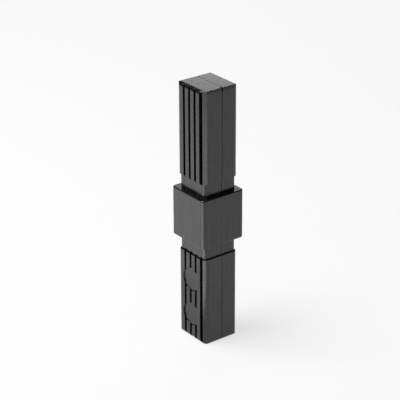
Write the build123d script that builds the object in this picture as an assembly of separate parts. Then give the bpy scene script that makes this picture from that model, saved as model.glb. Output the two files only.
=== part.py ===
from build123d import *
import os

# Square tube connector: a collar with a ribbed leg on each side of it, standing on one leg.
# Z runs along the legs, the slotted faces look along -Y and +Y, and all sizes are in mm.
# The origin is the centre of the collar, halfway between the two ends.

# Collar, as wide as the tubes are outside
tube_width = 20.0
collar_height = 20.4
collar_corner = 1.5
collar_edge = 0.4

# Leg, a little narrower than the bore of the tube it goes into
leg_width = 16.5
leg_corner = 1.9
leg_length = 43.3

# Neck between collar and leg. The upper leg steps out of it, the lower one tapers out
neck_relief = 0.5
neck_corner = 1.5
neck_height = 5.5
upper_taper = 0.15
lower_taper = 0.7

# Lead-in at the end of each leg, rounded on the slotted faces and sloped on the plain sides
front_round = 1.5
back_round = 1.1
left_height = 2.0
left_depth = 0.5
right_height = 1.2
right_depth = 0.15
end_edge = 0.1

# Slots along the slotted faces, counted from the corner post inwards
slot_width = 1.4
slot_count = 4
rib_width = 1.95
slot_overrun = 0.25
web_thickness = 3.0
end_wall = 0.4

# Corner post beside the outermost slot, cut off flat on the upper leg and rounder on the lower one
post_width = 1.35
post_chamfer = 1.85
post_corner = 2.7

# Round pads sunk into the front of the lower leg, over the three inner slots
pad_diameter = 9.6
pad_depth = 0.5
pad_from_end = 10.5
pad_spacing = 15.45

# Parting line of the mould, a fine groove down the plain sides and across the ends
seam_offset = 0.65
seam_width = 0.28
seam_depth = 0.3
seam_end_depth = 0.06

# Mark left by the gate, where the parting line crosses the top edge
gate_width = 0.8
gate_height = 1.3
gate_reach = 1.6

# Heights along Z and half widths
collar_top = collar_height / 2
neck_top = collar_top + neck_height
leg_top = collar_top + leg_length
half_leg = leg_width / 2
half_neck = half_leg - neck_relief


def outline(width, corner, at_posts, height):
    """Square with rounded corners, of which the front right and back left are the corner posts'."""
    square = Rectangle(width, width)
    square = fillet([v for v in square.vertices() if v.X * v.Y < 0], at_posts)
    square = fillet([v for v in square.vertices() if v.X * v.Y > 0], corner)
    return Plane.XY.offset(height) * square


def rounded_block(width, corner, at_posts, low, high):
    """Square block with rounded upright edges between two heights."""
    return extrude(outline(width, corner, at_posts, low), amount=high - low)


def neck_and_taper(taper, at_posts):
    """Neck from inside the collar up to where the leg is at its full width."""
    lower = outline(2 * half_neck, neck_corner, neck_corner, neck_top)
    upper = outline(leg_width, leg_corner, at_posts, neck_top + taper)
    neck = rounded_block(2 * half_neck, neck_corner, neck_corner, 0, neck_top)
    return neck + loft([lower.face(), upper.face()])


def edge_cutter(radius, length):
    """Bar along X that rounds a level edge at the origin, of a body that lies towards +Y and -Z."""
    block = Pos(0, (radius - 1) / 2, (1 - radius) / 2) * Box(length, radius + 1, radius + 1)
    return block - Pos(0, radius, -radius) * Rot(0, 90, 0) * Cylinder(radius, length + 2)


def slot_edges():
    """Left edge of each slot in the front face, from the corner post inwards."""
    first = half_leg - post_width - slot_width
    return [first - i * (slot_width + rib_width) for i in range(slot_count)]


def front_slots():
    """Cutters for the slots in the front face of the upper leg."""
    low = neck_top - slot_overrun
    high = leg_top - end_wall
    back = -web_thickness / 2
    cutters = []
    for left in slot_edges():
        middle = (left + slot_width / 2, (back - half_leg - 1) / 2, (low + high) / 2)
        cutters.append(Pos(*middle) * Box(slot_width, half_leg + 1 + back, high - low))
    return cutters


def front_lead_in(radius, right):
    """Cutter that rounds the end of the front face, from its left side as far as the given X."""
    left = -half_leg - 1
    return Pos((left + right) / 2, -half_leg, leg_top) * edge_cutter(radius, right - left)


def flat_post():
    """Cutter that takes the corner post of the upper leg off flat, at 45 degrees."""
    cut = post_chamfer + 1
    corners = [(half_leg + 1 - cut, -half_leg), (half_leg + 1, -half_leg), (half_leg + 1, -half_leg + cut)]
    corner = Plane.XY.offset(neck_top) * Polygon(*corners, align=None)
    return extrude(corner, amount=leg_length)


def side_slope(height, depth):
    """Cutter for the slope and the fine edge at the end of the right side."""
    inner = half_leg - depth
    corners = [(half_leg, leg_top - height), (inner, leg_top - end_edge), (inner - end_edge, leg_top)]
    corners += [(inner - end_edge, leg_top + 1), (half_leg + 1, leg_top + 1)]
    corners.append((half_leg + 1, leg_top - height))
    return extrude(Plane.XZ * Polygon(*corners, align=None), amount=leg_width, both=True)


def parting_groove():
    """Cutter for the parting line, a thin frame around the leg seen from the front."""
    sides = [(half_neck, 0), (half_neck, neck_top), (half_leg, neck_top), (half_leg, leg_top)]
    right = [(x - seam_depth, z) for x, z in sides[:-1]]
    right.append((half_leg - right_depth - seam_depth, leg_top - seam_end_depth))
    left = [(-x, z) for x, z in reversed(right)]
    inside = Polygon(*right, *left, align=None)
    outside = Pos(0, (collar_top + leg_top + 1) / 2) * Rectangle(2 * leg_width, leg_top + 1 - collar_top)
    return extrude(Plane.XZ.offset(-seam_offset - seam_width / 2) * (outside - inside), amount=seam_width)


def ribbed_leg(taper, lead_end, at_posts, post_cutters):
    """Leg above the collar with its lead-in, corner posts, slots and parting line."""
    leg = neck_and_taper(taper, at_posts)
    leg += rounded_block(leg_width, leg_corner, at_posts, neck_top + taper, leg_top)
    half_turn = Rot(0, 0, 180)
    leg -= front_lead_in(front_round, lead_end)
    leg -= half_turn * front_lead_in(back_round, half_leg + 1)
    # The back face is the front face turned half a turn about Z
    for cutter in front_slots() + post_cutters:
        leg -= cutter
        leg -= half_turn * cutter
    leg -= side_slope(right_height, right_depth)
    leg -= half_turn * side_slope(left_height, left_depth)
    return leg - parting_groove()


def gate_mark():
    """Cutter for the sloping scar where the gate was broken off the top side edge."""
    corners = [(half_leg + 1, leg_top + 1), (half_leg - gate_reach, leg_top + 1)]
    corners += [(half_leg - gate_reach, leg_top), (half_leg - right_depth, leg_top - gate_height)]
    corners.append((half_leg + 1, leg_top - gate_height))
    scar = Plane.XZ.offset(-seam_offset - gate_width / 2) * Polygon(*corners, align=None)
    return extrude(scar, amount=gate_width)


def pad_centres():
    """Points on the front face of the lower leg where the pads are."""
    middle = slot_edges()[2] + slot_width / 2
    low = -leg_top + pad_from_end
    return [(middle, low), (middle, low + pad_spacing)]


def front_disc(centre, near, far):
    """Round disc that looks along -Y, between two distances from the middle plane."""
    plane = Plane((centre[0], -far, centre[1]), x_dir=(1, 0, 0), z_dir=(0, -1, 0))
    return extrude(plane * Circle(pad_diameter / 2), amount=far - near, dir=(0, 1, 0))


def collar():
    """Collar block with its level edges rounded."""
    block = rounded_block(tube_width, collar_corner, collar_corner, -collar_top, collar_top)
    level_edges = block.faces().sort_by(Axis.Z)[0].edges() + block.faces().sort_by(Axis.Z)[-1].edges()
    return fillet(level_edges, collar_edge)


def connector():
    """The whole moulding."""
    # On the upper leg the front lead-in ends over the outermost slot, short of the flat post
    short = slot_edges()[0] + slot_width / 2
    upper = ribbed_leg(upper_taper, short, leg_corner, [flat_post()])
    lower = mirror(ribbed_leg(lower_taper, half_leg + 1, post_corner, []), about=Plane.XY)
    body = collar() + upper + lower
    for centre in pad_centres():
        body += front_disc(centre, web_thickness / 2 - 0.5, half_leg - pad_depth)
        body -= front_disc(centre, half_leg - pad_depth, half_leg + 1)
    return body - gate_mark()


part = connector().solid()
part.label = "connector"
os.makedirs("parts", exist_ok=True)
export_step(part, "parts/connector.step")
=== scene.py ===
import math

import bmesh
import bpy
from mathutils import Matrix, Vector


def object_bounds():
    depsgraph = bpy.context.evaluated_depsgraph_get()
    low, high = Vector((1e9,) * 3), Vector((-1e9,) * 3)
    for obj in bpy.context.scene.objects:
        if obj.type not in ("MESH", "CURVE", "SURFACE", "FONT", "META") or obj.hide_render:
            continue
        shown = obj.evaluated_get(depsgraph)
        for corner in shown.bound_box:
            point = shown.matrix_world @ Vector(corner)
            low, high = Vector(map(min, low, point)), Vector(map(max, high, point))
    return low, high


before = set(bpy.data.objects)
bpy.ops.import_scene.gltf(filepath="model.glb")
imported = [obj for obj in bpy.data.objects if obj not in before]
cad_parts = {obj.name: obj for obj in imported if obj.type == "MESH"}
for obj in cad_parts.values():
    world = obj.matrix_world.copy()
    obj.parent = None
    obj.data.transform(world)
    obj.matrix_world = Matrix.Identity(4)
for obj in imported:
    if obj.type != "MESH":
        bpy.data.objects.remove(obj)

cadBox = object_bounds()
mm = 0.001


def linear(hexColour):
    # sRGB hex to the linear colour that a socket takes
    channels = [int(hexColour[i:i + 2], 16) / 255 for i in (1, 3, 5)]
    return tuple(c / 12.92 if c <= 0.04045 else ((c + 0.055) / 1.055) ** 2.4 for c in channels) + (1.0,)


def addNode(tree, kind, settings=None, links=None):
    # settings are properties or inputs, links are the sockets that feed the inputs
    node = tree.nodes.new(kind)
    for name, value in (settings or {}).items():
        if isinstance(name, str) and hasattr(node, name):
            setattr(node, name, value)
        else:
            node.inputs[name].default_value = value
    for name, socket in (links or {}).items():
        tree.links.new(socket, node.inputs[name])
    return node


def newMaterial(name):
    material = bpy.data.materials.new(name)
    material.use_nodes = True
    material.node_tree.nodes.clear()
    return material, material.node_tree


connectorLook = {
    "colour": "#020203",
    "paleColour": "#262629",     # where the glass fibre lies near the surface
    "fibreRange": (0.18, 0.38),  # values of the two patterns multiplied, from the dark to the pale colour
    "ior": 1.58,                 # typical 1.53, raised for the skin that the polished mould leaves
    "roughness": (0.2, 0.3),
    "clouds": 4.0,               # mm, flow marks, where the skin turns from satin to duller
    "cloudRange": (0.3, 0.7),    # values of the clouds, from the lower to the higher roughness
    "grain": 0.5,                # mm, the real spark texture is finer, drawn as coarse as it shows
    "grainStrength": 0.25,
    "drawMarks": (0.9, 18.0),    # mm across and along, left as the part is drawn from the mould
    "drawMarkStrength": 0.2,
    "bumpHeight": 0.02,          # mm
    "edgeRadius": 0.2,           # mm
}


def makeMouldedNylon(look):
    # Glass-filled nylon, injection moulded: near black, with a satin skin that mirrors the pale floor softly
    material, tree = newMaterial("blackMouldedNylon")
    place = addNode(tree, "ShaderNodeTexCoord").outputs["Object"]
    across, along = look["drawMarks"]
    stretch = addNode(tree, "ShaderNodeMapping",
                      {"Scale": (1 / (across * mm), 1 / (across * mm), 1 / (along * mm))}, {"Vector": place})
    clouds = addNode(tree, "ShaderNodeTexNoise", {"Scale": 1 / (look["clouds"] * mm), "Detail": 3.0},
                     {"Vector": place})
    grain = addNode(tree, "ShaderNodeTexNoise", {"Scale": 1 / (look["grain"] * mm), "Detail": 3.0},
                    {"Vector": place})
    marks = addNode(tree, "ShaderNodeTexNoise", {"Scale": 1.0, "Detail": 2.0}, {"Vector": stretch.outputs[0]})

    # The colour follows the fibre, which shows along the draw marks
    darkEnd, paleEnd = look["fibreRange"]
    fibre = addNode(tree, "ShaderNodeMath", {"operation": "MULTIPLY"},
                    {0: grain.outputs["Fac"], 1: marks.outputs["Fac"]})
    share = addNode(tree, "ShaderNodeMapRange", {"From Min": darkEnd, "From Max": paleEnd},
                    {"Value": fibre.outputs[0]})
    tint = addNode(tree, "ShaderNodeMix", {"data_type": "RGBA"}, {0: share.outputs["Result"]})
    tint.inputs[6].default_value = linear(look["colour"])
    tint.inputs[7].default_value = linear(look["paleColour"])

    satinEnd, dullEnd = look["cloudRange"]
    satin, dull = look["roughness"]
    roughness = addNode(tree, "ShaderNodeMapRange",
                        {"From Min": satinEnd, "From Max": dullEnd, "To Min": satin, "To Max": dull},
                        {"Value": clouds.outputs["Fac"]})

    height = look["bumpHeight"] * mm
    edges = addNode(tree, "ShaderNodeBevel", {"samples": 8, "Radius": look["edgeRadius"] * mm})
    drawn = addNode(tree, "ShaderNodeBump", {"Strength": look["drawMarkStrength"], "Distance": height},
                    {"Height": marks.outputs["Fac"], "Normal": edges.outputs["Normal"]})
    rough = addNode(tree, "ShaderNodeBump", {"Strength": look["grainStrength"], "Distance": height},
                    {"Height": grain.outputs["Fac"], "Normal": drawn.outputs["Normal"]})
    shader = addNode(tree, "ShaderNodeBsdfPrincipled", {"IOR": look["ior"]},
                     {"Base Color": tint.outputs[2], "Roughness": roughness.outputs["Result"],
                      "Normal": rough.outputs["Normal"]})
    addNode(tree, "ShaderNodeOutputMaterial", links={"Surface": shader.outputs["BSDF"]})
    return material


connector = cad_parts["connector"]
nylon = makeMouldedNylon(connectorLook)
for slot in connector.material_slots:
    slot.material = nylon
print("connector finished")


floorLook = {
    "size": 3.0,        # m
    "colour": "#f8f8f8",
    "whiteShare": 0.7,  # how much of the paper is plain white where it is seen or mirrored
}


def makePaper(look):
    # Background paper: its shade takes the object's shadow, the white share keeps it pale where it is seen
    material, tree = newMaterial("paleFloorPaper")
    rays = addNode(tree, "ShaderNodeLightPath").outputs
    seenOrMirrored = addNode(tree, "ShaderNodeMath", {"operation": "MAXIMUM"},
                             {0: rays["Is Camera Ray"], 1: rays["Is Glossy Ray"]})
    inView = addNode(tree, "ShaderNodeMath", {"operation": "MAXIMUM"},
                     {0: seenOrMirrored.outputs[0], 1: rays["Is Transmission Ray"]})
    share = addNode(tree, "ShaderNodeMath", {"operation": "MULTIPLY", 1: look["whiteShare"]},
                    {0: inView.outputs[0]})
    paper = addNode(tree, "ShaderNodeBsdfDiffuse", {"Color": linear(look["colour"])})
    white = addNode(tree, "ShaderNodeEmission", {"Strength": 1.0})
    mix = addNode(tree, "ShaderNodeMixShader", None,
                  {0: share.outputs[0], 1: paper.outputs[0], 2: white.outputs[0]})
    addNode(tree, "ShaderNodeOutputMaterial", links={"Surface": mix.outputs[0]})
    return material


def makeFloor(look):
    mesh = bpy.data.meshes.new("floor")
    bm = bmesh.new()
    bmesh.ops.create_grid(bm, x_segments=1, y_segments=1, size=look["size"] / 2)
    bmesh.ops.translate(bm, verts=bm.verts, vec=(0, 0, cadBox[0][2]))
    bm.to_mesh(mesh)
    bm.free()
    mesh.materials.append(makePaper(look))
    floor = bpy.data.objects.new("floor", mesh)
    bpy.context.scene.collection.objects.link(floor)


makeFloor(floorLook)
print("floor laid")


# Places and sizes in metres from the collar's centre, each lamp turned to face its aim
lamps = {
    "overheadSoftbox": {
        "place": (-0.17, -0.28, 0.83), "aim": (0, 0, 0),
        "size": (0.5, 0.5), "radiance": 11.0,
    },
    "backSoftbox": {
        "place": (-0.79, 0.59, 0.21), "aim": (0, 0, 0.21),
        "size": (0.7, 0.4), "radiance": 3.05,
    },
    # Reflector panels that lie just above the floor in front and face up
    "leftPanel": {
        "place": (-0.17, -0.14, -0.051), "aim": (-0.17, -0.14, 1),
        "size": (0.26, 0.22), "radiance": 0.35,
    },
    "frontPanel": {
        "place": (0.025, -0.105, -0.051), "aim": (0.025, -0.105, 1),
        "size": (0.09, 0.15), "radiance": 2.2,
    },
    "sidePanel": {
        "place": (0.12, -0.165, -0.051), "aim": (0.12, -0.165, 1),
        "size": (0.1, 0.11), "radiance": 1.4,
    },
}
worldLook = {"colour": "#ffffff", "strength": 0.05}


def addLamp(name, look):
    place = Vector(look["place"])
    data = bpy.data.lights.new(name, "AREA")
    data.shape = "RECTANGLE"
    data.size, data.size_y = look["size"]
    data.energy = look["radiance"] * math.pi * data.size * data.size_y
    lamp = bpy.data.objects.new(name, data)
    lamp.location = place
    lamp.rotation_euler = (place - Vector(look["aim"])).to_track_quat("Z", "Y").to_euler()
    bpy.context.scene.collection.objects.link(lamp)


def setWorld(look):
    world = bpy.data.worlds.new("studio")
    world.use_nodes = True
    sky = world.node_tree.nodes["Background"]
    sky.inputs["Color"].default_value = linear(look["colour"])
    sky.inputs["Strength"].default_value = look["strength"]
    bpy.context.scene.world = world


for lampName, lampLook in lamps.items():
    addLamp(lampName, lampLook)
setWorld(worldLook)
print("lamps hung")


cameraLook = {
    "azimuth": 52.97,             # degrees from the slotted front round to the plain side
    "elevation": 24.89,           # degrees
    "roll": -0.288,               # degrees
    "distance": 623.3,            # mm
    "aim": (-3.26, -1.31, 3.91),  # mm
    "lens": 144.14,               # mm
    "sensor": 36.0,               # mm
    "nearest": 0.01,              # m, nothing closer than this is drawn
}


def addCamera(look):
    turn = math.radians(look["azimuth"])
    lift = math.radians(look["elevation"])
    away = Vector((math.cos(lift) * math.sin(turn), -math.cos(lift) * math.cos(turn), math.sin(lift)))
    right = Vector((math.cos(turn), math.sin(turn), 0))
    axes = Matrix((right, away.cross(right), away)).transposed().to_4x4()
    roll = Matrix.Rotation(math.radians(look["roll"]), 4, "Z")
    place = (Vector(look["aim"]) + away * look["distance"]) * mm
    data = bpy.data.cameras.new("camera")
    data.lens = look["lens"]
    data.sensor_width = look["sensor"]
    data.clip_start = look["nearest"]
    camera = bpy.data.objects.new("camera", data)
    camera.matrix_world = Matrix.Translation(place) @ axes @ roll
    bpy.context.scene.collection.objects.link(camera)
    bpy.context.scene.camera = camera


addCamera(cameraLook)
bpy.context.scene.view_settings.view_transform = "Standard"
print("camera set")
